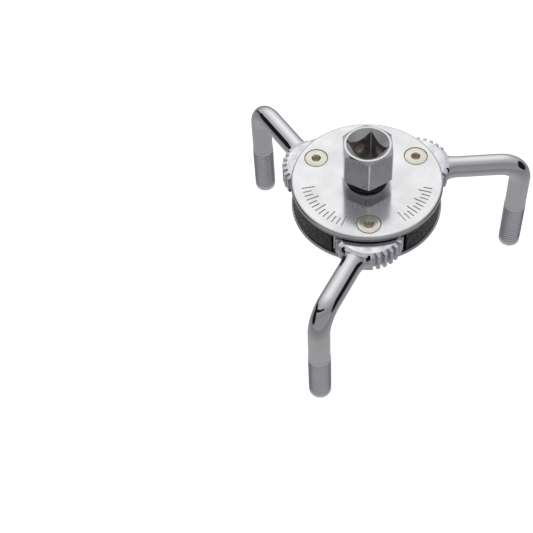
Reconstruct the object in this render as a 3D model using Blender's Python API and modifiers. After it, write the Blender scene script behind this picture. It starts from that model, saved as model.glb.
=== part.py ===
"""Three-leg oil filter wrench.

A round casing of two plates carries three cranked legs. A gear on each leg's hub
meshes with a centre gear on the drive socket, so turning the socket swings the
three legs together until they grip a filter from either side.

The origin is on the casing's axis, level with the tips of the legs, and +Z is up.
Dimensions are in millimetres and become metres where the shapes are made.
"""
import math

import bmesh
import bpy
from mathutils import Matrix, Vector

MM = 0.001
GAP = 0.3

# Casing
PLATE_R = 27.0
TOP_Z = 51.8
TOP_T = 2.3
TOP_EDGE_R = 1.0
BASE_Z = 38.4
BASE_T = 1.4
BASE_EDGE = 0.4
INNER_LOW = BASE_Z + BASE_T + GAP
INNER_HIGH = TOP_Z - TOP_T - GAP

# Gears: the legs turn the other way from the socket, by SUN_TEETH / LEG_TEETH of its turn
PIVOT_R = 20.6
LEG_TEETH = 30
SUN_TEETH = 24
LEG_TIP_R = 12.4
LEG_ROOT_R = 10.6
LEG_TIP_HALF_DEG = 2.4
LEG_ROOT_HALF_DEG = 4.0
LEG_FIRST_DEG = 30.0
LEG_PLAIN_DEG = 27.0
LEG_PLAIN_R = 12.1
SUN_TIP_R = 9.5
SUN_ROOT_R = 7.7
SUN_TIP_HALF_DEG = 0.5
SUN_ROOT_HALF_DEG = 1.6
HUB_LOW = 41.4
HUB_HIGH = 49.0
HUB_FLAT_R = 10.75
HUB_SLOPE = 0.3

# Legs
SWING_DEG = -27.0
ARM_LENGTH = 39.0
ARM_Z = 44.6
ROD_R = 3.85
ROD_SIDES = 6
BEND_R = 8.0
BEND_STEPS = 8
NECK_START = 9.0
NECK_END = 15.0
NECK_R = 4.25
NECK_END_R = 3.6
NECK_SPREAD = 1.5
GRIP_R = 4.02
GRIP_TOP = 22.0
TIP_FLAT_R = 2.6
TIP_ROUND = 1.7
GROOVE_PITCH = 1.25
GROOVE_DEPTH = 0.35
GROOVE_LOW = 2.0
GROOVES = 15
HUB_BORE_R = 3.5
WASHER_R = 7.5
WASHER_T = 1.0

# Pivot screws, sleeves and nuts
SCREW_HEAD_R = 4.04
SCREW_HEAD_RIM = 0.24
SCREW_R = 2.0
SCREW_END_Z = 34.8
HEX_KEY = 2.5
HEX_KEY_DEPTH = 1.6
SLEEVE_R = 3.2
SLEEVE_BORE_R = 2.3
NUT_FLATS = 7.0
NUT_T = 2.8

# Spacer blocks, pads and their screws
PAD_R = 26.5
PAD_HALF_DEG = 30.6
PAD_T = 0.8
HUB_CLEARANCE_R = 12.8
SUN_CLEARANCE_R = 10.1
SPACER_SCREW_AT = 17.5
SPACER_SCREW_R = 1.5
SPACER_HEAD_R = 2.8
SPACER_HEAD_T = 1.6
SPACER_END_Z = 50.5
SPACER_HOLE_R = 1.8

# Drive
HEX_FLATS = 16.9
HEX_LOW = 56.2
HEX_FALL = 0.7
SOCKET_TOP = 69.9
HEX_CORNER_DEG = -88.3
MOUTH_R = 8.15
MOUTH_INNER_R = 7.45
SQUARE = 9.7
SQUARE_FLOOR = 57.3
SQUARE_DEG = 32.5
DETENT_R = 2.2
DETENT_Z = 63.0
DETENT_REACH = 5.6
SHAFT_R = 6.0
SEAT = 8.4
JOURNAL_R = 4.0
SHAFT_END_Z = 36.6
CLIP_GROOVE_R = 3.3
CLIP_R = 5.6
CLIP_BORE_R = 3.6
CLIP_T = 0.7
CLIP_OPEN_DEG = 50.0
SEAL_R = 7.1
SEAL_T = 0.9
BUSH_GAP = 0.3
UPPER_BUSH_R = 7.0
LOWER_BUSH_R = 5.3

# Where the pieces stand round the axis, in degrees from +X
PIVOTS = {"front": -90.0, "right": 30.0, "left": 150.0}
SPACERS = {"back": 90.0, "right": -30.0, "left": -150.0}

# Colour, metallic and roughness of each material
FINISHES = {
    "bright_plate": ((0.86, 0.86, 0.86), 1.0, 0.25),
    "chrome": ((0.70, 0.70, 0.73), 1.0, 0.12),
    "nickel_screw": ((0.68, 0.66, 0.56), 1.0, 0.30),
    "black_pad": ((0.025, 0.025, 0.028), 0.0, 0.70),
    "grey_steel": ((0.42, 0.42, 0.44), 1.0, 0.40),
    "black_rubber": ((0.012, 0.012, 0.012), 0.0, 0.55),
    "bronze": ((0.55, 0.36, 0.17), 1.0, 0.40),
    "spring_steel": ((0.12, 0.12, 0.13), 1.0, 0.45),
}


def clear_scene():
    for obj in list(bpy.data.objects):
        bpy.data.objects.remove(obj, do_unlink=True)


def collection(name):
    group = bpy.data.collections.new(name)
    bpy.context.scene.collection.children.link(group)
    return group


def material(name):
    colour, metallic, roughness = FINISHES[name]
    mat = bpy.data.materials.get(name)
    if mat is None:
        mat = bpy.data.materials.new(name)
        mat.use_nodes = True
        shader = mat.node_tree.nodes["Principled BSDF"]
        shader.inputs["Base Color"].default_value = (*colour, 1.0)
        shader.inputs["Metallic"].default_value = metallic
        shader.inputs["Roughness"].default_value = roughness
    return mat


def polar(radius, degrees):
    angle = math.radians(degrees)
    return (radius * math.cos(angle), radius * math.sin(angle))


def arc(centre, radius, start, end, steps):
    """Points from one angle to another round a centre, both ends included."""
    points = []
    for i in range(steps + 1):
        x, y = polar(radius, start + (end - start) * i / steps)
        points.append((centre[0] + x, centre[1] + y))
    return points


def hexagon_radius(flats):
    return flats / 2 / math.cos(math.radians(30))


def evaluated_mesh(obj):
    bpy.context.view_layer.update()
    graph = bpy.context.evaluated_depsgraph_get()
    return bpy.data.meshes.new_from_object(obj.evaluated_get(graph))


def mesh_object(name, mesh):
    obj = bpy.data.objects.new(name, mesh)
    workshop.objects.link(obj)
    return obj


def apply_modifiers(obj):
    mesh = evaluated_mesh(obj)
    obj.modifiers.clear()
    obj.data = mesh


def curve_to_mesh(curve_obj):
    """Replace a curve by its mesh, with the caps welded to the sides."""
    name = curve_obj.name
    mesh = evaluated_mesh(curve_obj)
    bm = bmesh.new()
    bm.from_mesh(mesh)
    bmesh.ops.remove_doubles(bm, verts=bm.verts, dist=0.000001)
    bm.to_mesh(mesh)
    bm.free()
    mesh.transform(curve_obj.matrix_world)
    bpy.data.objects.remove(curve_obj, do_unlink=True)
    return mesh_object(name, mesh)


def turned(name, profile, steps):
    """Turn a profile of (radius, height) about Z. It runs down the outer side."""
    mesh = bpy.data.meshes.new(name)
    points = [(radius * MM, 0.0, height * MM) for radius, height in profile]
    edges = [(i, i + 1) for i in range(len(points) - 1)]
    if profile[0][0] > 0:
        edges.append((len(points) - 1, 0))
    mesh.from_pydata(points, edges, [])
    obj = mesh_object(name, mesh)
    screw = obj.modifiers.new("turn", "SCREW")
    screw.axis = "Z"
    screw.angle = 2 * math.pi
    screw.steps = steps
    screw.render_steps = steps
    screw.use_merge_vertices = True
    screw.merge_threshold = 0.000001
    apply_modifiers(obj)
    return obj


def ring(name, outer, inner, low, high, steps):
    return turned(name, [(inner, high), (outer, high), (outer, low), (inner, low)], steps)


def cylinder(name, radius, low, high, steps):
    return turned(name, [(0, high), (radius, high), (radius, low), (0, low)], steps)


def flat(name, outlines, low, high):
    """Extrude closed outlines. The second and later ones are holes."""
    data = bpy.data.curves.new(name, "CURVE")
    data.dimensions = "2D"
    data.fill_mode = "BOTH"
    data.extrude = (high - low) / 2 * MM
    for outline in outlines:
        spline = data.splines.new("POLY")
        spline.points.add(len(outline) - 1)
        for point, (x, y) in zip(spline.points, outline):
            point.co = (x * MM, y * MM, 0.0, 1.0)
        spline.use_cyclic_u = True
    obj = bpy.data.objects.new(name, data)
    obj.location.z = (high + low) / 2 * MM
    workshop.objects.link(obj)
    bpy.context.view_layer.update()
    return curve_to_mesh(obj)


def prism(name, sides, radius, low, high, corner_deg):
    """Upright prism with one corner at the given angle."""
    bm = bmesh.new()
    turn = Matrix.Rotation(math.radians(corner_deg), 4, "Z")
    lift = Matrix.Translation((0, 0, (low + high) / 2 * MM))
    size = radius * MM
    bmesh.ops.create_cone(bm, cap_ends=True, segments=sides, radius1=size, radius2=size,
                          depth=(high - low) * MM, matrix=lift @ turn)
    # The primitive's own first corner may stand elsewhere, so it is turned to +X first
    first = min(bm.verts, key=lambda v: (v.co.z, v.index))
    now = math.degrees(math.atan2(first.co.y, first.co.x))
    bmesh.ops.rotate(bm, verts=bm.verts, cent=(0, 0, 0),
                     matrix=Matrix.Rotation(math.radians(corner_deg - now), 3, "Z"))
    mesh = bpy.data.meshes.new(name)
    bm.to_mesh(mesh)
    bm.free()
    return mesh_object(name, mesh)


def boolean(obj, tool, operation):
    """Cut, join or intersect with a tool, which is used up."""
    tool.hide_render = True
    tool.display_type = "WIRE"
    change = obj.modifiers.new(operation.lower(), "BOOLEAN")
    change.operation = operation
    change.solver = "EXACT"
    change.object = tool
    apply_modifiers(obj)
    bpy.data.objects.remove(tool, do_unlink=True)


def cut_at(obj, make_tool, angles, radius):
    """Cut the same hole at several angles round the axis."""
    for angle in angles:
        tool = make_tool()
        x, y = polar(radius * MM, angle)
        tool.location = (x, y, 0.0)
        boolean(obj, tool, "DIFFERENCE")


def finish(obj, name, finish_name):
    """Name the piece, give it its material and shade its round faces smooth."""
    workshop.objects.unlink(obj)
    parts.objects.link(obj)
    obj.name = name
    mesh = obj.data
    mesh.name = name
    mesh.materials.clear()
    mesh.materials.append(material(finish_name))
    for face in mesh.polygons:
        face.material_index = 0
    mesh.shade_smooth()
    mesh.set_sharp_from_angle(angle=math.radians(30))
    return obj


def place_copies(obj, names, angles, radius, turns, finish_name):
    """Stand copies of a finished piece round the axis, each an object of its own."""
    mesh = obj.data
    finish(obj, names[0], finish_name)
    copies = [obj]
    for name in names[1:]:
        copy = bpy.data.objects.new(name, mesh)
        parts.objects.link(copy)
        copies.append(copy)
    for copy, angle, turn in zip(copies, angles, turns):
        x, y = polar(radius * MM, angle)
        copy.location = (x, y, 0.0)
        copy.rotation_euler.z = math.radians(turn)


def at_pivots(obj, stem, finish_name, turns):
    names = [stem + "_" + side for side in PIVOTS]
    place_copies(obj, names, list(PIVOTS.values()), PIVOT_R, turns, finish_name)


def at_spacers(obj, stem, finish_name, radius):
    names = [stem + "_" + side for side in SPACERS]
    angles = list(SPACERS.values())
    place_copies(obj, names, angles, radius, angles, finish_name)


def pivot_hole():
    """Countersunk hole that leaves a gap all round the screw's head."""
    rim = SCREW_HEAD_R + GAP
    cone_top = TOP_Z - 0.37
    under = TOP_Z - TOP_T - 1.0
    depth = cone_top - (TOP_Z - TOP_T)
    waist = rim - depth
    return turned("hole", [(0, TOP_Z + 1), (rim, TOP_Z + 1), (rim, cone_top),
                           (waist, TOP_Z - TOP_T), (waist, under), (0, under)], 24)


def spacer_hole():
    low = BASE_Z - 1
    return cylinder("hole", SPACER_HOLE_R, low, SPACER_END_Z + GAP, 20)


def make_top_plate():
    bore = UPPER_BUSH_R + BUSH_GAP
    low = TOP_Z - TOP_T
    centre = (PLATE_R - TOP_EDGE_R, TOP_Z - TOP_EDGE_R)
    edge = arc(centre, TOP_EDGE_R, 90, 0, 5)
    profile = [(bore, TOP_Z)] + edge + [(PLATE_R, low + BASE_EDGE), (PLATE_R - BASE_EDGE, low),
                                        (bore, low)]
    plate = turned("top_plate", profile, 72)
    cut_at(plate, pivot_hole, PIVOTS.values(), PIVOT_R)
    cut_at(plate, spacer_hole, SPACERS.values(), SPACER_SCREW_AT)
    finish(plate, "top_plate", "bright_plate")


def make_bottom_plate():
    bore = LOWER_BUSH_R + BUSH_GAP
    high = BASE_Z + BASE_T
    profile = [(bore, high), (PLATE_R - BASE_EDGE, high), (PLATE_R, high - BASE_EDGE),
               (PLATE_R, BASE_Z + BASE_EDGE), (PLATE_R - BASE_EDGE, BASE_Z), (bore, BASE_Z)]
    plate = turned("bottom_plate", profile, 72)

    def shank_hole():
        return cylinder("hole", SCREW_R + GAP, BASE_Z - 1, high + 1, 20)

    cut_at(plate, shank_hole, PIVOTS.values(), PIVOT_R)
    cut_at(plate, spacer_hole, SPACERS.values(), SPACER_SCREW_AT)
    finish(plate, "bottom_plate", "grey_steel")


def clearance_meets(radius):
    """Where the clearance round the hub at 60 degrees meets a circle round the axis."""
    along = (PIVOT_R ** 2 + radius ** 2 - HUB_CLEARANCE_R ** 2) / (2 * PIVOT_R)
    across = math.sqrt(radius ** 2 - along ** 2)
    return Vector(polar(along, 60)) + across * Vector(polar(1, -30))


def make_spacer_blocks():
    back = PAD_R - PAD_T - GAP
    pivot = Vector(polar(PIVOT_R, 60))
    from_pivot = []
    for meet in (clearance_meets(back), clearance_meets(SUN_CLEARANCE_R)):
        towards = meet - pivot
        from_pivot.append(math.degrees(math.atan2(towards.y, towards.x)))
    side = arc(pivot, HUB_CLEARANCE_R, from_pivot[0], from_pivot[1], 10)
    mirrored = [(x, -y) for x, y in reversed(side)]
    outer_deg = math.degrees(math.atan2(side[0][1], side[0][0]))
    inner_deg = math.degrees(math.atan2(side[-1][1], side[-1][0]))
    outer = arc((0, 0), back, -outer_deg, outer_deg, 12)[1:-1]
    inner = arc((0, 0), SUN_CLEARANCE_R, inner_deg, -inner_deg, 8)[1:-1]
    hole = arc((SPACER_SCREW_AT, 0), SPACER_HOLE_R, 0, 342, 19)
    block = flat("spacer_block", [outer + side + inner + mirrored, hole], INNER_LOW, INNER_HIGH)
    at_spacers(block, "spacer_block", "grey_steel", 0)


def make_grip_pads():
    outer = arc((0, 0), PAD_R, -PAD_HALF_DEG, PAD_HALF_DEG, 16)
    inner = arc((0, 0), PAD_R - PAD_T, PAD_HALF_DEG, -PAD_HALF_DEG, 16)
    pad = flat("grip_pad", [outer + inner], INNER_LOW, INNER_HIGH)
    at_spacers(pad, "grip_pad", "black_pad", 0)


def teeth(first, last, pitch, tip, root):
    """Straight-sided teeth. Tip and root are each a radius and half a width in degrees."""
    points = []
    for i in range(round((last - first) / pitch) + 1):
        tooth = first + i * pitch
        points.append(polar(root[0], tooth - root[1]))
        points.append(polar(tip[0], tooth - tip[1]))
        points.append(polar(tip[0], tooth + tip[1]))
        points.append(polar(root[0], tooth + root[1]))
    return points


def hub_outline():
    """Toothed rim, filled out to a plain round wall where the arm leaves it."""
    plain = arc((0, 0), LEG_PLAIN_R, -LEG_PLAIN_DEG, LEG_PLAIN_DEG, 8)
    rim = teeth(LEG_FIRST_DEG, 360 - LEG_FIRST_DEG, 360 / LEG_TEETH,
                (LEG_TIP_R, LEG_TIP_HALF_DEG), (LEG_ROOT_R, LEG_ROOT_HALF_DEG))
    return plain + rim[1:-1]


def make_rod():
    """The cranked rod: along the arm, round the bend and down to the tip."""
    path = [(NECK_START, ARM_Z, ROD_R), (ARM_LENGTH - BEND_R, ARM_Z, ROD_R)]
    for i in range(1, BEND_STEPS + 1):
        x, z = polar(BEND_R, 90 - 90 * i / BEND_STEPS)
        path.append((ARM_LENGTH - BEND_R + x, ARM_Z - BEND_R + z, ROD_R))
    path.append((ARM_LENGTH, GRIP_TOP + 0.6, ROD_R))
    path.append((ARM_LENGTH, GRIP_TOP, GRIP_R))
    path.append((ARM_LENGTH, TIP_ROUND, GRIP_R))
    path.append((ARM_LENGTH, TIP_ROUND * 0.3, GRIP_R - 0.45))
    path.append((ARM_LENGTH, 0.0, TIP_FLAT_R))
    data = bpy.data.curves.new("rod", "CURVE")
    data.dimensions = "3D"
    data.fill_mode = "FULL"
    data.bevel_depth = ROD_R * MM
    data.bevel_resolution = ROD_SIDES
    data.use_fill_caps = True
    spline = data.splines.new("POLY")
    spline.points.add(len(path) - 1)
    for point, (x, z, radius) in zip(spline.points, path):
        point.co = (x * MM, 0.0, z * MM, 1.0)
        point.radius = radius / ROD_R
    rod = bpy.data.objects.new("rod", data)
    workshop.objects.link(rod)
    return curve_to_mesh(rod)


def make_neck():
    """Cone that spreads sideways from the rod into the hub."""
    length = NECK_END - NECK_START
    bm = bmesh.new()
    bmesh.ops.create_cone(bm, cap_ends=True, segments=24, radius1=NECK_R * MM,
                          radius2=NECK_END_R * MM, depth=length * MM)
    wide = [v for v in bm.verts if v.co.z < 0]
    bmesh.ops.scale(bm, vec=(1, NECK_SPREAD, 1), verts=wide)
    lie = Matrix.Rotation(math.radians(90), 4, "Y")
    shift = Matrix.Translation(((NECK_START + length / 2) * MM, 0, ARM_Z * MM))
    bmesh.ops.transform(bm, matrix=shift @ lie, verts=bm.verts)
    mesh = bpy.data.meshes.new("neck")
    bm.to_mesh(mesh)
    bm.free()
    return mesh_object("neck", mesh)


def make_groove_comb(side):
    """Row of V teeth that cuts the fine level grooves into one side of the rod."""
    bottom = GRIP_R - GROOVE_DEPTH
    top = GRIP_R + 0.25
    outline = [(top + 1, GROOVE_LOW), (top, GROOVE_LOW)]
    for i in range(GROOVES):
        outline.append((bottom, GROOVE_LOW + (i + 0.5) * GROOVE_PITCH))
        outline.append((top, GROOVE_LOW + (i + 1) * GROOVE_PITCH))
    outline.append((top + 1, GROOVE_LOW + GROOVES * GROOVE_PITCH))
    comb = flat("comb", [outline], -3.0, 3.0)
    stand = Matrix(((0, 0, side, 0), (side, 0, 0, 0), (0, 1, 0, 0), (0, 0, 0, 1)))
    comb.data.transform(Matrix.Translation((ARM_LENGTH * MM, 0, 0)) @ stand)
    return comb


def make_legs():
    bore = arc((0, 0), HUB_BORE_R, 0, 345, 23)
    leg = flat("leg", [hub_outline(), bore], HUB_LOW, HUB_HIGH)
    wide = LEG_TIP_R + 1
    fall = (wide - HUB_FLAT_R) * HUB_SLOPE
    blank = turned("blank", [(0, HUB_HIGH + 1), (HUB_FLAT_R - 1, HUB_HIGH + HUB_SLOPE),
                             (wide, HUB_HIGH - fall), (wide, HUB_LOW - 1), (0, HUB_LOW - 1)], 48)
    boolean(leg, blank, "INTERSECT")
    boolean(leg, make_neck(), "UNION")
    boolean(leg, make_rod(), "UNION")
    boolean(leg, make_groove_comb(1), "DIFFERENCE")
    boolean(leg, make_groove_comb(-1), "DIFFERENCE")
    at_pivots(leg, "leg", "chrome", [angle + SWING_DEG for angle in PIVOTS.values()])


def make_hub_washers():
    washer = ring("hub_washer", WASHER_R, HUB_BORE_R, INNER_LOW, INNER_LOW + WASHER_T, 32)
    at_pivots(washer, "hub_washer", "grey_steel", [0, 0, 0])


def hex_recess(top):
    return prism("recess", 6, hexagon_radius(HEX_KEY), top - HEX_KEY_DEPTH, top + 1, 30)


def make_pivot_screws():
    top = TOP_Z - 0.05
    rim = top - SCREW_HEAD_RIM
    neck = rim - (SCREW_HEAD_R - SCREW_R)
    profile = [(0, top), (SCREW_HEAD_R - 0.12, top), (SCREW_HEAD_R, top - 0.1),
               (SCREW_HEAD_R, rim), (SCREW_R, neck), (SCREW_R, SCREW_END_Z + 0.4),
               (SCREW_R - 0.4, SCREW_END_Z), (0, SCREW_END_Z)]
    screw = turned("pivot_screw", profile, 24)
    boolean(screw, hex_recess(top), "DIFFERENCE")
    at_pivots(screw, "pivot_screw", "nickel_screw", [0, 0, 0])


def make_pivot_sleeves():
    sleeve = ring("pivot_sleeve", SLEEVE_R, SLEEVE_BORE_R, INNER_LOW, INNER_HIGH, 24)
    at_pivots(sleeve, "pivot_sleeve", "bronze", [0, 0, 0])


def make_pivot_nuts():
    high = BASE_Z - GAP
    nut = prism("pivot_nut", 6, hexagon_radius(NUT_FLATS), high - NUT_T, high, 30)
    corner = hexagon_radius(NUT_FLATS)
    blank = turned("blank", [(0, high + 1), (corner + 1, high + 1),
                             (corner + 1, high - NUT_T + 1.4), (corner - 0.5, high - NUT_T - 0.1),
                             (0, high - NUT_T - 0.1)], 24)
    boolean(nut, blank, "INTERSECT")
    thread = cylinder("thread", SCREW_R + GAP, high - NUT_T - 1, high + 1, 20)
    boolean(nut, thread, "DIFFERENCE")
    at_pivots(nut, "pivot_nut", "nickel_screw", [0, 120, 240])


def make_spacer_screws():
    high = BASE_Z - GAP
    low = high - SPACER_HEAD_T
    profile = [(0, SPACER_END_Z), (SPACER_SCREW_R - 0.3, SPACER_END_Z),
               (SPACER_SCREW_R, SPACER_END_Z - 0.3), (SPACER_SCREW_R, high),
               (SPACER_HEAD_R, high), (SPACER_HEAD_R - 0.2, high - 0.7),
               (SPACER_HEAD_R - 0.9, low), (0, low)]
    screw = turned("spacer_screw", profile, 20)
    recess = prism("recess", 6, hexagon_radius(2.0), low - 1, low + 1.1, 30)
    boolean(screw, recess, "DIFFERENCE")
    at_spacers(screw, "spacer_screw", "nickel_screw", SPACER_SCREW_AT)


def make_drive_socket():
    corner = hexagon_radius(HEX_FLATS)
    socket = prism("drive_socket", 6, corner, HEX_LOW, SOCKET_TOP, HEX_CORNER_DEG)
    fall = (corner + 1 - MOUTH_R) * HEX_FALL
    blank = turned("blank", [(0, SOCKET_TOP + 1), (MOUTH_R - 1 / HEX_FALL, SOCKET_TOP + 1),
                             (corner + 1, SOCKET_TOP - fall), (corner + 1, HEX_LOW + 0.8),
                             (corner - 0.8, HEX_LOW - 0.1), (0, HEX_LOW - 0.1)], 48)
    boolean(socket, blank, "INTERSECT")
    boolean(socket, cylinder("shaft", SHAFT_R, INNER_HIGH + GAP, HEX_LOW + 0.2, 32), "UNION")
    seat = prism("seat", 4, SEAT / math.sqrt(2), INNER_LOW, INNER_HIGH + GAP + 0.5, SQUARE_DEG)
    boolean(socket, seat, "UNION")
    clip_high = BASE_Z
    clip_low = BASE_Z - CLIP_T - 2 * GAP
    journal = turned("journal", [(0, INNER_LOW + 0.5), (JOURNAL_R, INNER_LOW + 0.5),
                                 (JOURNAL_R, clip_high), (CLIP_GROOVE_R, clip_high),
                                 (CLIP_GROOVE_R, clip_low), (JOURNAL_R, clip_low),
                                 (JOURNAL_R, SHAFT_END_Z + 0.3), (JOURNAL_R - 0.3, SHAFT_END_Z),
                                 (0, SHAFT_END_Z)], 32)
    boolean(socket, journal, "UNION")
    hole = prism("square", 4, SQUARE / math.sqrt(2), SQUARE_FLOOR, SOCKET_TOP + 1, SQUARE_DEG - 45)
    boolean(socket, hole, "DIFFERENCE")
    depth = MOUTH_INNER_R - SQUARE / 2 + 0.2
    cone = turned("cone", [(0, SOCKET_TOP + 0.5), (MOUTH_INNER_R + 0.5, SOCKET_TOP + 0.5),
                           (MOUTH_INNER_R - depth, SOCKET_TOP - depth), (0, SOCKET_TOP - depth)], 48)
    boolean(socket, cone, "DIFFERENCE")
    for turn in (SQUARE_DEG, SQUARE_DEG + 90):
        groove = cylinder("detent", DETENT_R, -DETENT_REACH, DETENT_REACH, 16)
        lie = Matrix.Rotation(math.radians(90), 4, "Y")
        aim = Matrix.Rotation(math.radians(turn), 4, "Z")
        groove.data.transform(Matrix.Translation((0, 0, DETENT_Z * MM)) @ aim @ lie)
        boolean(socket, groove, "DIFFERENCE")
    finish(socket, "drive_socket", "chrome")


def make_sun_gear():
    """Centre gear, turned so that its teeth stand in the gaps of the legs' teeth."""
    pitch = 360 / LEG_TEETH
    facing = 180 - SWING_DEG
    past_gap = (facing - LEG_FIRST_DEG) % pitch - pitch / 2
    first = PIVOTS["front"] + past_gap * LEG_TEETH / SUN_TEETH
    bore_r = (SEAT + 2 * GAP) / math.sqrt(2)
    bore = arc((0, 0), bore_r, SQUARE_DEG, SQUARE_DEG + 270, 3)
    step = 360 / SUN_TEETH
    rim = teeth(first, first + 360 - step, step,
                (SUN_TIP_R, SUN_TIP_HALF_DEG), (SUN_ROOT_R, SUN_ROOT_HALF_DEG))
    gear = flat("sun_gear", [rim, bore], HUB_LOW, HUB_HIGH)
    finish(gear, "sun_gear", "grey_steel")


def make_bushes_and_seal():
    bore = SHAFT_R + GAP
    upper = ring("upper_bush", UPPER_BUSH_R, bore, TOP_Z - TOP_T, TOP_Z, 48)
    finish(upper, "upper_bush", "bronze")
    lower = ring("lower_bush", LOWER_BUSH_R, JOURNAL_R + GAP, BASE_Z, BASE_Z + BASE_T, 32)
    finish(lower, "lower_bush", "bronze")
    low = TOP_Z + GAP
    seal = ring("dust_seal", SEAL_R, bore, low, low + SEAL_T, 48)
    finish(seal, "dust_seal", "black_rubber")


def make_retaining_clip():
    high = BASE_Z - GAP
    half = CLIP_OPEN_DEG / 2
    outer = arc((0, 0), CLIP_R, half, 360 - half, 24)
    inner = arc((0, 0), CLIP_BORE_R, 360 - half, half, 20)
    clip = flat("retaining_clip", [outer + inner], high - CLIP_T, high)
    finish(clip, "retaining_clip", "spring_steel")


clear_scene()
parts = collection("oil_filter_wrench")
workshop = collection("cutters")
make_top_plate()
make_bottom_plate()
make_spacer_blocks()
make_grip_pads()
make_legs()
make_hub_washers()
make_pivot_screws()
make_pivot_sleeves()
make_pivot_nuts()
make_spacer_screws()
make_drive_socket()
make_sun_gear()
make_bushes_and_seal()
make_retaining_clip()
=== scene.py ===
"""Looks of the three-leg oil filter wrench.

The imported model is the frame. Every piece that shows is built again here with fine
geometry and stands for the node of the same name. The pieces' lengths are in
millimetres and become metres where the shapes are made. The camera, the floor and the
materials are in metres.
"""
import math

import bmesh
import bpy
from mathutils import Matrix, Quaternion, Vector


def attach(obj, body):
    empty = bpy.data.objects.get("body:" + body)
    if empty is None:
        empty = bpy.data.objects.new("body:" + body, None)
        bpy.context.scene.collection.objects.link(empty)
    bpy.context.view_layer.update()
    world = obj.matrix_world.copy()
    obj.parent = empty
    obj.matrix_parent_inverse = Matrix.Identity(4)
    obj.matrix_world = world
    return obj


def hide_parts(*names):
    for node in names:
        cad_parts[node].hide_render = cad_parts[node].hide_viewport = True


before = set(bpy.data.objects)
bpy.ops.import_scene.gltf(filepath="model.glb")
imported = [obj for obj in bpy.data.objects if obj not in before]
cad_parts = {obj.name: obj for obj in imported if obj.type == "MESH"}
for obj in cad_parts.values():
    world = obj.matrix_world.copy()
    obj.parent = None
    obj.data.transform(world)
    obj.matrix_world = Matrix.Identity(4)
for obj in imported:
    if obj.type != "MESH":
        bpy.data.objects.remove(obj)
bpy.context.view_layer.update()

MM = 0.001

# Casing
PLATE_R = 27.0
TOP_Z = 51.8
TOP_T = 2.3
BASE_Z = 38.4
BASE_T = 1.4
INNER_LOW = 40.1
INNER_HIGH = 49.2
BLOCK_R = 25.4
PAD_R = 26.5
PAD_HALF_DEG = 30.6
SPACER_SCREW_R = 17.5
UNDERSIDE = 38.1

# Gears
PIVOT_R = 20.6
LEG_TEETH = 30
SUN_TEETH = 24
LEG_TIP_R = 12.4
LEG_ROOT_R = 10.6
LEG_FIRST_DEG = 30.0
LEG_PLAIN_R = 12.15
HUB_LOW = 41.4
HUB_HIGH = 49.0
HUB_FLAT_R = 10.7
HUB_SLOPE = 0.3
HUB_CLEARANCE_R = 12.8
HUB_BORE_R = 3.5
NOTCH_AT_R = 12.0
NOTCHES_DEG = (-21.0, 25.5)
SUN_CLEARANCE_R = 10.1

# Legs
SWING_DEG = -27.0
ARM_LENGTH = 39.0
ARM_Z = 44.6
ROD_R = 3.85
ROD_SIDES = 64
BEND_R = 8.0
GRIP_R = 4.02
GRIP_TOP = 22.0
RIDGE_PITCH = 1.25
RIDGES = 15
TIP_ROUND = 1.7
TIP_FLAT_R = 2.6

# Drive
HEX_FLATS = 16.9
HEX_LOW = 56.2
HEX_FALL = 0.7
SOCKET_TOP = 69.9
HEX_CORNER_DEG = -88.3
MOUTH_R = 8.15
MOUTH_INNER_R = 7.45
SQUARE = 9.7
SQUARE_FLOOR = 57.3
SQUARE_DEG = 32.5
DETENT_Z = 63.0
DETENT_R = 2.2
SHAFT_R = 6.0
SEAT = 8.4
SEAT_HOLE = 9.0

# Hexagonal key recesses of the screws, across the flats
PIVOT_KEY = 2.5
SPACER_KEY = 2.0

PIVOTS = {"front": -90.0, "right": 30.0, "left": 150.0}
SPACERS = {"back": 90.0, "right": -30.0, "left": -150.0}

# Camera in front of the tool and above it, in metres and degrees
CAMERA_AT = Vector((-0.01550, -0.28128, 0.37466))
AIM_AT = Vector((-0.03536, -0.03315, 0.045))
ROLL_DEG = -4.545
LENS = 81.22

# From the tool towards the middle of the big softbox behind it, and towards the small front lamp
SOFTBOX_AXIS = (-0.025, 0.719, 0.695)
LAMP_AXIS = (0.20, -0.55, 0.81)


# ---------------------------------------------------------------- shapes

def polar(radius, degrees):
    angle = math.radians(degrees)
    return (radius * math.cos(angle), radius * math.sin(angle))


def arc(centre, radius, start, end, steps):
    points = []
    for i in range(steps + 1):
        x, y = polar(radius, start + (end - start) * i / steps)
        points.append((centre[0] + x, centre[1] + y))
    return points


def new_object(name, bm):
    bmesh.ops.recalc_face_normals(bm, faces=bm.faces)
    mesh = bpy.data.meshes.new(name)
    bm.to_mesh(mesh)
    bm.free()
    obj = bpy.data.objects.new(name, mesh)
    bpy.context.scene.collection.objects.link(obj)
    return obj


def lathe(name, profile, steps):
    """Turn a profile of (radius, height) about Z. A profile off the axis is a closed ring."""
    bm = bmesh.new()
    rings = []
    for radius, height in profile:
        if radius == 0:
            rings.append([bm.verts.new((0, 0, height * MM))])
            continue
        ring = []
        for i in range(steps):
            x, y = polar(radius * MM, 360 * i / steps)
            ring.append(bm.verts.new((x, y, height * MM)))
        rings.append(ring)
    pairs = list(zip(rings, rings[1:]))
    if profile[0][0] > 0:
        pairs.append((rings[-1], rings[0]))
    for upper, lower in pairs:
        for i in range(steps):
            j = (i + 1) % steps
            corners = [upper[i % len(upper)], upper[j % len(upper)],
                       lower[j % len(lower)], lower[i % len(lower)]]
            corners = list(dict.fromkeys(corners))
            bm.faces.new(corners)
    return new_object(name, bm)


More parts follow.
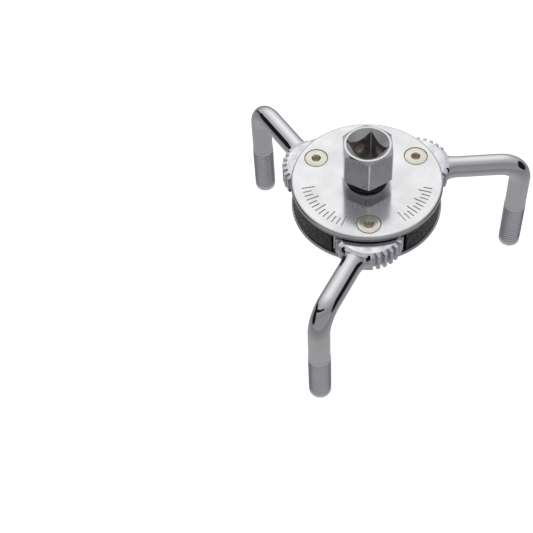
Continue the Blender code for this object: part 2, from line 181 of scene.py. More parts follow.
def rounded(profile, radius, steps=3):
    """Round the corners of an outline or a (radius, height) profile, but not on the axis."""
    points = []
    count = len(profile)
    for i, point in enumerate(profile):
        here = Vector(point)
        before = Vector(profile[i - 1])
        after = Vector(profile[(i + 1) % count])
        if here.x == 0 or (profile[0][0] == 0 and i in (0, count - 1)):
            points.append(point)
            continue
        cut = min(radius, (before - here).length / 2.2, (after - here).length / 2.2)
        start = here + (before - here).normalized() * cut
        end = here + (after - here).normalized() * cut
        for k in range(steps + 1):
            t = k / steps
            spot = start * (1 - t) ** 2 + here * 2 * t * (1 - t) + end * t ** 2
            points.append(tuple(spot))
    return points


def slab(name, outline, low, high):
    """Upright prism on a closed outline."""
    bm = bmesh.new()
    verts = [bm.verts.new((x * MM, y * MM, low * MM)) for x, y in outline]
    face = bm.faces.new(verts)
    grown = bmesh.ops.extrude_face_region(bm, geom=[face])
    top = [v for v in grown["geom"] if isinstance(v, bmesh.types.BMVert)]
    bmesh.ops.translate(bm, vec=(0, 0, (high - low) * MM), verts=top)
    return new_object(name, bm)


def polygon(sides, radius, corner_deg, corner_r=0.0, steps=4):
    """Outline of a regular polygon, with its corners rounded."""
    corners = [Vector(polar(radius, corner_deg + 360 * i / sides)) for i in range(sides)]
    if corner_r == 0:
        return [tuple(c) for c in corners]
    return rounded([tuple(c) for c in corners], corner_r, steps)


def apply_modifiers(obj):
    bpy.context.view_layer.update()
    graph = bpy.context.evaluated_depsgraph_get()
    mesh = bpy.data.meshes.new_from_object(obj.evaluated_get(graph))
    obj.modifiers.clear()
    obj.data = mesh


def boolean(obj, tool, operation):
    change = obj.modifiers.new(operation.lower(), "BOOLEAN")
    change.operation = operation
    change.solver = "EXACT"
    change.object = tool
    apply_modifiers(obj)
    bpy.data.objects.remove(tool, do_unlink=True)


def soften(obj, width):
    """Small rounding along the sharp edges."""
    bevel = obj.modifiers.new("edge", "BEVEL")
    bevel.width = width * MM
    bevel.segments = 2
    bevel.limit_method = "ANGLE"
    bevel.angle_limit = math.radians(30)
    bevel.harden_normals = False
    apply_modifiers(obj)


def shade(obj, angle=30, weighted=False):
    obj.data.shade_smooth()
    obj.data.set_sharp_from_angle(angle=math.radians(angle))
    if weighted:
        normals = obj.modifiers.new("normals", "WEIGHTED_NORMAL")
        normals.keep_sharp = True
        normals.weight = 100


# ---------------------------------------------------------------- materials

def new_material(name, colour, metallic, roughness):
    mat = bpy.data.materials.new(name)
    mat.use_nodes = True
    shader = mat.node_tree.nodes["Principled BSDF"]
    shader.inputs["Base Color"].default_value = (*colour, 1.0)
    shader.inputs["Metallic"].default_value = metallic
    shader.inputs["Roughness"].default_value = roughness
    return mat, mat.node_tree, shader


def noise(tree, scale, detail=4.0):
    """Noise in the object's own space, with scale in features per metre."""
    coord = tree.nodes.new("ShaderNodeTexCoord")
    texture = tree.nodes.new("ShaderNodeTexNoise")
    texture.inputs["Scale"].default_value = scale
    texture.inputs["Detail"].default_value = detail
    tree.links.new(coord.outputs["Object"], texture.inputs["Vector"])
    return texture.outputs["Fac"]


def ramp(tree, fac, stops):
    """Colour ramp from a list of (position, colour)."""
    node = tree.nodes.new("ShaderNodeValToRGB")
    elements = node.color_ramp.elements
    while len(elements) < len(stops):
        elements.new(0.5)
    for element, (position, colour) in zip(elements, stops):
        element.position = position
        element.color = (*colour, 1.0)
    tree.links.new(fac, node.inputs["Fac"])
    return node.outputs["Color"]


def remap(tree, fac, low, high, from_low=0.3, from_high=0.7):
    node = tree.nodes.new("ShaderNodeMapRange")
    node.inputs["From Min"].default_value = from_low
    node.inputs["From Max"].default_value = from_high
    node.inputs["To Min"].default_value = low
    node.inputs["To Max"].default_value = high
    tree.links.new(fac, node.inputs["Value"])
    return node.outputs["Result"]


def bump(tree, shader, height, strength, distance):
    node = tree.nodes.new("ShaderNodeBump")
    node.inputs["Strength"].default_value = strength
    node.inputs["Distance"].default_value = distance
    tree.links.new(height, node.inputs["Height"])
    tree.links.new(node.outputs["Normal"], shader.inputs["Normal"])


def metal(name, dark, light, rough_low, rough_high, mottle=90, grain=2500, grain_depth=0.000004,
          metallic=1.0):
    """Plated metal: mottled colour and roughness, with a fine surface grain."""
    mat, tree, shader = new_material(name, light, metallic, rough_low)
    broad = noise(tree, mottle)
    tree.links.new(ramp(tree, broad, [(0.3, dark), (0.7, light)]), shader.inputs["Base Color"])
    tree.links.new(remap(tree, broad, rough_high, rough_low), shader.inputs["Roughness"])
    bump(tree, shader, noise(tree, grain, 3.0), 0.3, grain_depth)
    return mat


def make_materials():
    made = {}
    made["bright_plate"] = metal("bright_plate", (0.71, 0.71, 0.72), (0.80, 0.80, 0.81), 0.14, 0.24,
                                 mottle=140)
    # Darker grey for the plate's lower rim and underside: painted shade of the shadowed table
    # reflected there
    made["plate_edge_shade"] = metal("plate_edge_shade", (0.36, 0.36, 0.39), (0.45, 0.45, 0.48), 0.16, 0.26)
    made["plate_mark"] = metal("plate_mark", (0.60, 0.60, 0.60), (0.72, 0.72, 0.72), 0.28, 0.40)
    made["base_plate"] = metal("base_plate", (0.50, 0.50, 0.53), (0.60, 0.60, 0.63), 0.28, 0.38)
    made["chrome"] = metal("chrome", (0.70, 0.70, 0.73), (0.76, 0.76, 0.79), 0.03, 0.06,
                           mottle=60, grain_depth=0.000001)
    made["cast_chrome"] = metal("cast_chrome", (0.60, 0.61, 0.65), (0.74, 0.75, 0.79), 0.18, 0.32,
                                mottle=400, grain=1800, grain_depth=0.00001)
    made["hub_top"] = metal("hub_top", (0.58, 0.58, 0.61), (0.82, 0.82, 0.84), 0.12, 0.24,
                            mottle=300)
    made["grip_chrome"] = metal("grip_chrome", (0.86, 0.86, 0.91), (0.94, 0.94, 0.98), 0.32, 0.40,
                                mottle=120, grain=2200, grain_depth=0.000003)
    made["socket_chrome"] = metal("socket_chrome", (0.64, 0.64, 0.67), (0.71, 0.71, 0.74),
                                  0.13, 0.18)
    # Bright, half-metal strip for the corners of the hex and of the square hole: a painted
    # highlight
    made["painted_edge_highlight"] = metal("painted_edge_highlight", (0.90, 0.90, 0.91), (0.96, 0.96, 0.96), 0.40, 0.55,
                              metallic=0.5)
    # Darker, bluer colour for the grip's grooves: painted shade
    made["grip_groove_shade"] = metal("grip_groove_shade", (0.54, 0.54, 0.60), (0.66, 0.66, 0.72), 0.36, 0.46)
    # Near-black for the notches in the hub: painted shade
    made["pit"] = metal("pit", (0.03, 0.03, 0.035), (0.06, 0.06, 0.065), 0.5, 0.6, mottle=600)
    made["bore"] = metal("bore", (0.34, 0.29, 0.27), (0.48, 0.42, 0.40), 0.16, 0.26, mottle=300,
                         metallic=0.85)
    made["detent"] = metal("detent", (0.70, 0.63, 0.60), (0.82, 0.76, 0.73), 0.25, 0.36,
                           mottle=300, metallic=0.6)
    made["turned"] = metal("turned", (0.70, 0.70, 0.72), (0.80, 0.80, 0.82), 0.35, 0.50,
                           mottle=300, metallic=0.7)
    made["nickel_screw"] = metal("nickel_screw", (0.66, 0.64, 0.55), (0.74, 0.72, 0.62), 0.16, 0.22,
                                 mottle=500)
    made["recess"] = metal("recess", (0.64, 0.56, 0.47), (0.84, 0.76, 0.66), 0.4, 0.55, mottle=900,
                           metallic=0.3)
    made["grey_steel"] = metal("grey_steel", (0.46, 0.46, 0.49), (0.60, 0.60, 0.63), 0.34, 0.46,
                               mottle=250, grain_depth=0.000008)
    made["bronze"] = metal("bronze", (0.46, 0.29, 0.13), (0.60, 0.40, 0.20), 0.30, 0.42)
    # Near-black bronze for the upper bush: painted shade under the seal
    made["bronze_painted_shade"] = metal("bronze_painted_shade", (0.06, 0.045, 0.03), (0.12, 0.08, 0.05), 0.3, 0.42)
    made["spring_steel"] = metal("spring_steel", (0.09, 0.09, 0.10), (0.16, 0.16, 0.17), 0.35, 0.5)

    mat, tree, shader = new_material("black_pad", (0.03, 0.03, 0.033), 0.0, 0.6)
    shader.inputs["Specular IOR Level"].default_value = 0.5
    grit = noise(tree, 1100, 2.0)
    speck = ramp(tree, grit, [(0.42, (0.002, 0.002, 0.003)), (0.55, (0.009, 0.009, 0.010)),
                              (0.66, (0.055, 0.055, 0.058))])
    tree.links.new(speck, shader.inputs["Base Color"])
    tree.links.new(remap(tree, grit, 0.55, 0.38), shader.inputs["Roughness"])
    bump(tree, shader, grit, 0.8, 0.0001)
    made["black_pad"] = mat

    mat, tree, shader = new_material("black_rubber", (0.012, 0.012, 0.012), 0.0, 0.4)
    skin = noise(tree, 900)
    tree.links.new(ramp(tree, skin, [(0.3, (0.002, 0.002, 0.002)), (0.7, (0.006, 0.006, 0.006))]),
                   shader.inputs["Base Color"])
    tree.links.new(remap(tree, skin, 0.35, 0.2), shader.inputs["Roughness"])
    bump(tree, shader, skin, 0.3, 0.00002)
    made["black_rubber"] = mat
    return made


# ---------------------------------------------------------------- pieces

def stand_in(obj, node, body):
    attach(obj, body)
    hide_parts(node)


def dress(obj, *names):
    """Give the piece its finishes, the first one all over. Returns the index of each by name."""
    obj.data.materials.clear()
    for name in names:
        obj.data.materials.append(materials[name])
    for face in obj.data.polygons:
        face.material_index = 0
    return {name: i for i, name in enumerate(names)}


def place_copies(obj, stem, sides, radius, turns, body):
    """Stand the piece and its copies round the axis. Each one stands for its own node."""
    master = obj.data
    for i, (side, angle) in enumerate(sides.items()):
        copy = obj
        if i > 0:
            copy = obj.copy()
            bpy.context.scene.collection.objects.link(copy)
        copy.name = stem + "_" + side + "_fine"
        x, y = polar(radius * MM, angle)
        stand = Matrix.Translation((x, y, 0)) @ Matrix.Rotation(math.radians(turns[i]), 4, "Z")
        copy.data = master.copy()
        copy.data.transform(stand)
        rides_on = "leg_" + side if body == "leg" else body
        stand_in(copy, stem + "_" + side, rides_on)


def cut_at(obj, make_tool, angles, radius):
    for angle in angles:
        tool = make_tool()
        x, y = polar(radius * MM, angle)
        tool.location = (x, y, 0)
        boolean(obj, tool, "DIFFERENCE")


def pivot_hole():
    rim = 4.16
    cone_top = TOP_Z - 0.37
    waist = rim - 1.93
    return lathe("hole", [(0, TOP_Z + 1), (rim + 1.15, TOP_Z + 1), (rim, TOP_Z - 0.15),
                          (rim, cone_top), (waist, TOP_Z - TOP_T), (waist, TOP_Z - 4),
                          (0, TOP_Z - 4)], 64)


def straight_hole(radius, low, high):
    return lathe("hole", [(0, high), (radius, high), (radius, low), (0, low)], 40)


def bar(bm, start, end, width, depth):
    """Add one straight stroke of a stamped mark, from start to end on the plate's face."""
    a = Vector(start)
    b = Vector(end)
    along = (b - a).normalized()
    side = Vector((-along.y, along.x)) * width / 2
    over = 0.3
    low_side = side * 0.55
    top = [a - along * width / 2 - side, b + along * width / 2 - side,
           b + along * width / 2 + side, a - along * width / 2 + side]
    bottom = [a - low_side, b - low_side, b + low_side, a + low_side]
    upper = [bm.verts.new((p.x * MM, p.y * MM, (TOP_Z + over) * MM)) for p in top]
    lower = [bm.verts.new((p.x * MM, p.y * MM, (TOP_Z - depth) * MM)) for p in bottom]
    bm.faces.new(upper)
    bm.faces.new(list(reversed(lower)))
    for i in range(4):
        j = (i + 1) % 4
        bm.faces.new([upper[i], lower[i], lower[j], upper[j]])


def stamped_marks():
    """Plain tick marks round the plate, and a row of ticks before the socket."""
    bm = bmesh.new()
    for first, last, count in ((190.0, 246.0, 13), (303.0, 347.0, 11)):
        for i in range(count):
            angle = first + (last - first) * i / (count - 1)
            inner = 18.9 if i % 3 == 0 else 20.4
            bar(bm, polar(inner, angle), polar(23.2, angle), 0.62, 0.32)
    for i in range(7):
        x = -5.4 + 1.8 * i
        reach = 1.5 if i % 2 == 0 else 0.8
        bar(bm, (x, -12.0 - reach), (x, -12.0 + reach), 0.45, 0.20)
    return new_object("marks", bm)


def make_top_plate():
    bore = 7.3
    low = TOP_Z - TOP_T
    edge = arc((PLATE_R - 1.0, TOP_Z - 1.0), 1.0, 90, 0, 8)
    seam = [(PLATE_R, TOP_Z - 1.25), (PLATE_R - 0.12, TOP_Z - 1.33),
            (PLATE_R - 0.02, TOP_Z - 1.42)]
    lower = arc((PLATE_R - 0.45, low + 0.45), 0.43, 0, -90, 5)
    profile = [(bore, TOP_Z - 0.12), (bore + 0.12, TOP_Z)] + edge + seam + lower + [(bore, low)]
    plate = lathe("top_plate_fine", profile, 192)
    cut_at(plate, pivot_hole, PIVOTS.values(), PIVOT_R)
    boolean(plate, stamped_marks(), "DIFFERENCE")
    finish = dress(plate, "bright_plate", "plate_edge_shade", "plate_mark")
    for face in plate.data.polygons:
        centre = face.center / MM
        # The rim's lower half and the underside take the darker painted shade
        if centre.z < TOP_Z - 1.1:
            face.material_index = finish["plate_edge_shade"]
        elif centre.z < TOP_Z - 0.02 and 8.5 < math.hypot(centre.x, centre.y) < 25.6:
            face.material_index = finish["plate_mark"]
    shade(plate, 35, weighted=True)
    stand_in(plate, "top_plate", "casing")


def make_bottom_plate():
    high = BASE_Z + BASE_T
    profile = rounded([(5.6, high), (PLATE_R, high), (PLATE_R, BASE_Z), (5.6, BASE_Z)], 0.4, 5)
    plate = lathe("bottom_plate_fine", profile, 192)
    cut_at(plate, lambda: straight_hole(2.3, BASE_Z - 1, high + 1), PIVOTS.values(), PIVOT_R)
    cut_at(plate, lambda: straight_hole(1.8, BASE_Z - 1, high + 1), SPACERS.values(),
           SPACER_SCREW_R)
    dress(plate, "base_plate")
    shade(plate, 35, weighted=True)
    stand_in(plate, "bottom_plate", "casing")


def clearance_meets(radius):
    """Where the clearance round the hub at 60 degrees meets a circle round the axis."""
    along = (PIVOT_R ** 2 + radius ** 2 - HUB_CLEARANCE_R ** 2) / (2 * PIVOT_R)
    across = math.sqrt(radius ** 2 - along ** 2)
    return Vector(polar(along, 60)) + across * Vector(polar(1, -30))


def block_outline():
    """Plan of a spacer block: a round back for the pad and clearance for the three gears."""
    pivot = Vector(polar(PIVOT_R, 60))
    from_pivot = []
    for meet in (clearance_meets(BLOCK_R), clearance_meets(SUN_CLEARANCE_R)):
        towards = meet - pivot
        from_pivot.append(math.degrees(math.atan2(towards.y, towards.x)))
    side = arc(pivot, HUB_CLEARANCE_R, from_pivot[0], from_pivot[1], 32)
    mirrored = [(x, -y) for x, y in reversed(side)]
    outer_deg = math.degrees(math.atan2(side[0][1], side[0][0]))
    inner_deg = math.degrees(math.atan2(side[-1][1], side[-1][0]))
    outer = arc((0, 0), BLOCK_R, -outer_deg, outer_deg, 40)[1:-1]
    inner = arc((0, 0), SUN_CLEARANCE_R, inner_deg, -inner_deg, 24)[1:-1]
    return outer + side + inner + mirrored


def make_spacers():
    block = slab("spacer_block", block_outline(), INNER_LOW, INNER_HIGH)
    soften(block, 0.15)
    dress(block, "grey_steel")
    shade(block, 35, weighted=True)
    angles = list(SPACERS.values())
    place_copies(block, "spacer_block", SPACERS, 0, angles, "casing")

    half = PAD_HALF_DEG
    outline = arc((0, 0), PAD_R, -half, half, 48) + arc((0, 0), PAD_R - 0.8, half, -half, 48)
    pad = slab("grip_pad", outline, INNER_LOW, INNER_HIGH)
    soften(pad, 0.15)
    dress(pad, "black_pad")
    shade(pad, 35, weighted=True)
    place_copies(pad, "grip_pad", SPACERS, 0, angles, "casing")


def teeth(first, last, pitch, steps):
    """Teeth from one angle to another. Steps are (radius, half width) from root to tip."""
    points = []
    for i in range(round((last - first) / pitch) + 1):
        tooth = first + i * pitch
        for radius, off in steps:
            points.append(polar(radius, tooth - off))
        for radius, off in reversed(steps):
            points.append(polar(radius, tooth + off))
    return points


def hub_outline():
    """Toothed rim, filled out to a plain round wall where the arm leaves it."""
    tip = LEG_TIP_R
    root = LEG_ROOT_R
    steps = [(root, 4.6), (root + 0.15, 3.95), (tip - 0.25, 2.6), (tip, 2.0)]
    rim = teeth(LEG_FIRST_DEG, 360 - LEG_FIRST_DEG, 360 / LEG_TEETH, steps)
    plain = arc((0, 0), LEG_PLAIN_R, -27.3, 27.3, 24)
    return plain + rim[2:-2]


def rod_sections():
    """Sections of the rod from inside the hub to its tip.

    Each is (x, z, direction in degrees, half width, half height, groove depth).
    """
    sections = []
    flare_start = 9.3
    flare_end = 15.4
    for i in range(17):
        x = flare_start + (flare_end - flare_start) * i / 16
        t = min((flare_end - x) / (flare_end - 10.6), 0.97)
        spread = 1 - math.sqrt(1 - t * t)
        sections.append((x, ARM_Z, 0, ROD_R + 2.6 * spread, ROD_R + 0.52 * spread, 0))
    arm_end = ARM_LENGTH - BEND_R
    for i in range(1, 5):
        x = flare_end + (arm_end - flare_end) * i / 4
        sections.append((x, ARM_Z, 0, ROD_R, ROD_R, 0))
    for i in range(1, 25):
        x, z = polar(BEND_R, 90 - 90 * i / 24)
        turn = -90 * i / 24
        sections.append((arm_end + x, ARM_Z - BEND_R + z, turn, ROD_R, ROD_R, 0))
    for z, radius in ((30, ROD_R), (GRIP_TOP + 1.0, ROD_R), (GRIP_TOP + 0.4, ROD_R + 0.04)):
        sections.append((ARM_LENGTH, z, -90, radius, radius, 0))
    sections.append((ARM_LENGTH, GRIP_TOP, -90, GRIP_R, GRIP_R, 0))
    for i in range(RIDGES):
        high = GRIP_TOP - 0.4 - i * RIDGE_PITCH
        for part, groove in ((0.0, 0), (0.24, 0), (0.36, 0.22), (0.56, 0.44), (0.66, 0.44),
                             (0.88, 0.16)):
            sections.append((ARM_LENGTH, high - part * RIDGE_PITCH, -90, GRIP_R, GRIP_R, groove))
    for x, dz in arc((0, 0), 1.0, 0, -90, 6):
        radius = TIP_FLAT_R + (GRIP_R - TIP_FLAT_R) * x
        sections.append((ARM_LENGTH, TIP_ROUND * (1 + dz), -90, radius, radius, 0))
    return sections


def make_rod():
    bm = bmesh.new()
    rings = []
    for x, z, direction, half_width, half_height, groove in rod_sections():
        turn = math.radians(direction)
        across = Vector((-math.sin(turn), 0, math.cos(turn)))
        centre = Vector((x, 0, z))
        ring = []
        for i in range(ROD_SIDES):
            angle = 2 * math.pi * i / ROD_SIDES
            sideways = math.cos(angle)
            # The grooves are deepest on the two sides that face along the swing
            cut = groove * (0.70 + 0.30 * sideways ** 2)
            spot = centre + Vector((0, sideways * (half_width - cut), 0))
            spot += across * math.sin(angle) * (half_height - cut)
            ring.append(bm.verts.new(spot * MM))
        rings.append(ring)
    for upper, lower in zip(rings, rings[1:]):
        for i in range(ROD_SIDES):
            j = (i + 1) % ROD_SIDES
            bm.faces.new([upper[i], upper[j], lower[j], lower[i]])
    bm.faces.new(rings[0])
    bm.faces.new(list(reversed(rings[-1])))
    return new_object("rod", bm)


def leg_finish(obj):
    """The hub is left as cast under its plating, the arm is polished and the grip is satin. The
    grip's grooves and the hub's notches are painted with shade.
    """
    finish = dress(obj, "chrome", "cast_chrome", "grip_chrome", "hub_top", "grip_groove_shade", "pit")
    for face in obj.data.polygons:
        centre = face.center / MM
        from_pivot = math.hypot(centre.x, centre.y)
        if from_pivot < LEG_TIP_R + 0.1 and centre.z > 30:
            on_top = face.normal.z > 0.98 and centre.z > HUB_HIGH - 0.1
            face.material_index = finish["hub_top" if on_top else "cast_chrome"]
            # Faces inside the notches take the near-black, which is painted shade
            for angle in NOTCHES_DEG:
                x, y = polar(NOTCH_AT_R, angle)
                near = math.hypot(centre.x - x, centre.y - y) < 0.95
                if near and HUB_HIGH - 2.3 < centre.z < HUB_HIGH - 0.7:
                    face.material_index = finish["pit"]
        elif centre.z < GRIP_TOP + 0.3:
            depth = GRIP_R - math.hypot(centre.x - ARM_LENGTH, centre.y)
            # Faces deep in a groove take the darker colour, which is painted shade
            in_groove = depth > 0.20 and centre.z > TIP_ROUND + 0.1
            face.material_index = finish["grip_groove_shade" if in_groove else "grip_chrome"]
    return finish


def keep_edges(obj, index):
    """Keep a crisp edge round the faces of one finish."""
    finishes = {}
    for face in obj.data.polygons:
        for key in face.edge_keys:
            finishes.setdefault(key, set()).add(face.material_index)
    for edge in obj.data.edges:
        met = finishes.get(edge.key, set())
        if index in met and len(met) > 1:
            edge.use_edge_sharp = True


def make_legs():
    hub = slab("leg", hub_outline(), HUB_LOW, HUB_HIGH)
    wide = LEG_TIP_R + 1
    fall = (wide - HUB_FLAT_R) * HUB_SLOPE
    blank = lathe("blank", [(0, HUB_HIGH + 1), (HUB_FLAT_R - 1, HUB_HIGH + HUB_SLOPE),
                            (wide, HUB_HIGH - fall), (wide, HUB_LOW + 1.6),
                            (LEG_TIP_R - 1, HUB_LOW - 0.8), (0, HUB_LOW - 0.8)], 160)
    boolean(hub, blank, "INTERSECT")
    boolean(hub, make_rod(), "UNION")
    for angle in NOTCHES_DEG:
        notch = lathe("notch", [(0, HUB_HIGH + 1), (0.66, HUB_HIGH + 1), (0.5, HUB_HIGH - 1.8),
                                (0, HUB_HIGH - 2.2)], 24)
        x, y = polar(NOTCH_AT_R * MM, angle)
        notch.location = (x, y, 0)
        boolean(hub, notch, "DIFFERENCE")
    boolean(hub, straight_hole(HUB_BORE_R, HUB_LOW - 1, HUB_HIGH + 1), "DIFFERENCE")
    finish = leg_finish(hub)
    shade(hub, 32, weighted=True)
    keep_edges(hub, finish["hub_top"])
    turns = [angle + SWING_DEG for angle in PIVOTS.values()]
    place_copies(hub, "leg", PIVOTS, PIVOT_R, turns, "leg")


def hex_recess(flats, low, high):
    radius = flats / 2 / math.cos(math.radians(30))
    return slab("recess", polygon(6, radius, 30), low, high)


def screw_finish(obj, flats, low, high):
    """Nickel all over, and a dark finish on the walls and floor of the hex recess."""
    finish = dress(obj, "nickel_screw", "recess")
    for face in obj.data.polygons:
        centre = face.center / MM
        if math.hypot(centre.x, centre.y) < flats * 0.6 and low < centre.z < high:
            face.material_index = finish["recess"]


def make_pivot_screws():
    top = TOP_Z - 0.05
    profile = [(0, top), (3.78, top), (3.93, top - 0.04), (4.02, top - 0.12), (4.04, top - 0.24),
               (2.0, top - 2.28), (2.0, 35.2), (1.6, 34.8), (0, 34.8)]
    screw = lathe("pivot_screw", profile, 96)
    cone = lathe("cone", [(0, top + 0.5), (2.2, top + 0.5), (1.2, top - 0.5), (0, top - 0.5)], 48)
    boolean(screw, cone, "DIFFERENCE")
    boolean(screw, hex_recess(PIVOT_KEY, top - 1.7, top + 1), "DIFFERENCE")
    screw_finish(screw, PIVOT_KEY, top - 1.8, top - 0.3)
    shade(screw, 30, weighted=True)
    place_copies(screw, "pivot_screw", PIVOTS, PIVOT_R, [0, 12, -9], "casing")


def make_nuts():
    high = UNDERSIDE
    low = high - 2.8
    corner = 3.5 / math.cos(math.radians(30))
    nut = slab("pivot_nut", polygon(6, corner, 30, 0.12, 2), low, high)
    blank = lathe("blank", [(0, high + 1), (corner + 1, high + 1), (corner + 1, low + 0.9),
                            (corner - 0.7, low - 0.1), (0, low - 0.1)], 64)
    boolean(nut, blank, "INTERSECT")
    bore = lathe("bore", [(0, high + 1), (2.3, high + 1), (2.3, low + 0.3), (2.7, low - 0.1),
                          (2.7, low - 1), (0, low - 1)], 48)
    boolean(nut, bore, "DIFFERENCE")
    dress(nut, "nickel_screw")
    shade(nut, 30, weighted=True)
    place_copies(nut, "pivot_nut", PIVOTS, PIVOT_R, [0, 120, 240], "casing")


def make_spacer_screws():
    high = UNDERSIDE
    low = high - 1.6
    dome = [(2.8, high - 0.25), (2.72, high - 0.7), (2.45, high - 1.15), (2.0, high - 1.45),
            (1.5, low)]
    profile = [(0, 50.5), (1.2, 50.5), (1.5, 50.2), (1.5, high), (2.75, high)] + dome + [(0, low)]
    screw = lathe("spacer_screw", profile, 64)
    boolean(screw, hex_recess(SPACER_KEY, low - 1, low + 1.1), "DIFFERENCE")
    screw_finish(screw, SPACER_KEY, low + 0.1, low + 1.2)
    shade(screw, 30, weighted=True)
    angles = list(SPACERS.values())
    place_copies(screw, "spacer_screw", SPACERS, SPACER_SCREW_R, angles, "casing")


def bore_finish(centre, normal):
    """Finish of the square hole's lead-in cone, corners, floor, detent grooves and flat walls."""
    if 0.5 < abs(normal.z) < 0.9 and centre.z > SOCKET_TOP - 3.2:
        return "turned"
    # The square hole's corners take the painted highlight
    if math.hypot(centre.x, centre.y) > SQUARE / math.sqrt(2) - 0.26:
        return "painted_edge_highlight"
    if normal.z > 0.95:
        return "turned"
    in_groove = abs(centre.z - DETENT_Z) < DETENT_R + 0.05 and on_detent(centre)
    return "detent" if in_groove else "bore"


def on_detent(centre):
    """Whether a point lies outside the square, on the wall of a cross groove."""
    turn = math.radians(SQUARE_DEG)
    along = abs(centre.x * math.cos(turn) + centre.y * math.sin(turn))
    across = abs(centre.y * math.cos(turn) - centre.x * math.sin(turn))
    return max(along, across) > SQUARE / 2 + 0.05


def make_socket():
    corner = HEX_FLATS / 2 / math.cos(math.radians(30))
    socket = slab("drive_socket_fine", polygon(6, corner, HEX_CORNER_DEG, 0.35, 4),
                  HEX_LOW, SOCKET_TOP)
    fall = (corner + 1 - MOUTH_R) * HEX_FALL
    blank = lathe("blank", [(0, SOCKET_TOP + 1), (MOUTH_R - 1 / HEX_FALL, SOCKET_TOP + 1),
                            (corner + 1, SOCKET_TOP - fall), (corner + 1, HEX_LOW + 0.8),
                            (corner - 0.8, HEX_LOW - 0.1), (0, HEX_LOW - 0.1)], 128)
    boolean(socket, blank, "INTERSECT")
    boolean(socket, straight_hole(SHAFT_R, 49.5, HEX_LOW + 0.2), "UNION")
    seat = slab("seat", polygon(4, SEAT / math.sqrt(2), SQUARE_DEG), INNER_LOW, 50.0)
    boolean(socket, seat, "UNION")
    journal = lathe("journal", [(0, 40.6), (4.0, 40.6), (4.0, 38.4), (3.3, 38.4), (3.3, 37.1),
                                (4.0, 37.1), (4.0, 37.0), (3.7, 36.6), (0, 36.6)], 64)
    boolean(socket, journal, "UNION")
    hole = slab("square", polygon(4, SQUARE / math.sqrt(2), SQUARE_DEG - 45, 0.35, 4),
                SQUARE_FLOOR, SOCKET_TOP + 1)
    boolean(socket, hole, "DIFFERENCE")
    depth = MOUTH_INNER_R - SQUARE / 2 + 0.2
    cone = lathe("cone", [(0, SOCKET_TOP + 0.5), (MOUTH_INNER_R + 0.5, SOCKET_TOP + 0.5),
                          (MOUTH_INNER_R - depth, SOCKET_TOP - depth),
                          (0, SOCKET_TOP - depth)], 128)
    boolean(socket, cone, "DIFFERENCE")
    for turn in (SQUARE_DEG, SQUARE_DEG + 90):
        groove = straight_hole(DETENT_R, -5.6, 5.6)
        lie = Matrix.Rotation(math.radians(90), 4, "Y")
        aim = Matrix.Rotation(math.radians(turn), 4, "Z")
        groove.data.transform(Matrix.Translation((0, 0, DETENT_Z * MM)) @ aim @ lie)
        boolean(socket, groove, "DIFFERENCE")
    finish = dress(socket, "socket_chrome", "bore", "painted_edge_highlight", "turned", "detent")
    for face in socket.data.polygons:
        centre = face.center / MM
        out = math.hypot(centre.x, centre.y)
        if out < 6.9 and SQUARE_FLOOR - 0.1 < centre.z < SOCKET_TOP - 0.05:
            face.material_index = finish[bore_finish(centre, face.normal)]
        elif HEX_LOW - 5.0 < centre.z < HEX_LOW + 0.1:
            face.material_index = finish["turned"]
        # The hex's upright corners take the painted highlight
        elif out > corner - 0.19 and abs(face.normal.z) < 0.1:
            face.material_index = finish["painted_edge_highlight"]
    shade(socket, 25, weighted=True)
    stand_in(socket, "drive_socket", "drive")


def make_sun_gear():
    pitch = 360 / LEG_TEETH
    past_gap = (180 - SWING_DEG - LEG_FIRST_DEG) % pitch - pitch / 2
    first = PIVOTS["front"] + past_gap * LEG_TEETH / SUN_TEETH
    step = 360 / SUN_TEETH
    rim = teeth(first, first + 360 - step, step,
                [(7.7, 2.0), (7.85, 1.55), (9.35, 0.6), (9.5, 0.35)])
    gear = slab("sun_gear_fine", rim, HUB_LOW, HUB_HIGH)
    seat = slab("seat", polygon(4, SEAT_HOLE / math.sqrt(2), SQUARE_DEG),
                HUB_LOW - 1, HUB_HIGH + 1)
    boolean(gear, seat, "DIFFERENCE")
    dress(gear, "grey_steel")
    shade(gear, 30, weighted=True)
    stand_in(gear, "sun_gear", "drive")


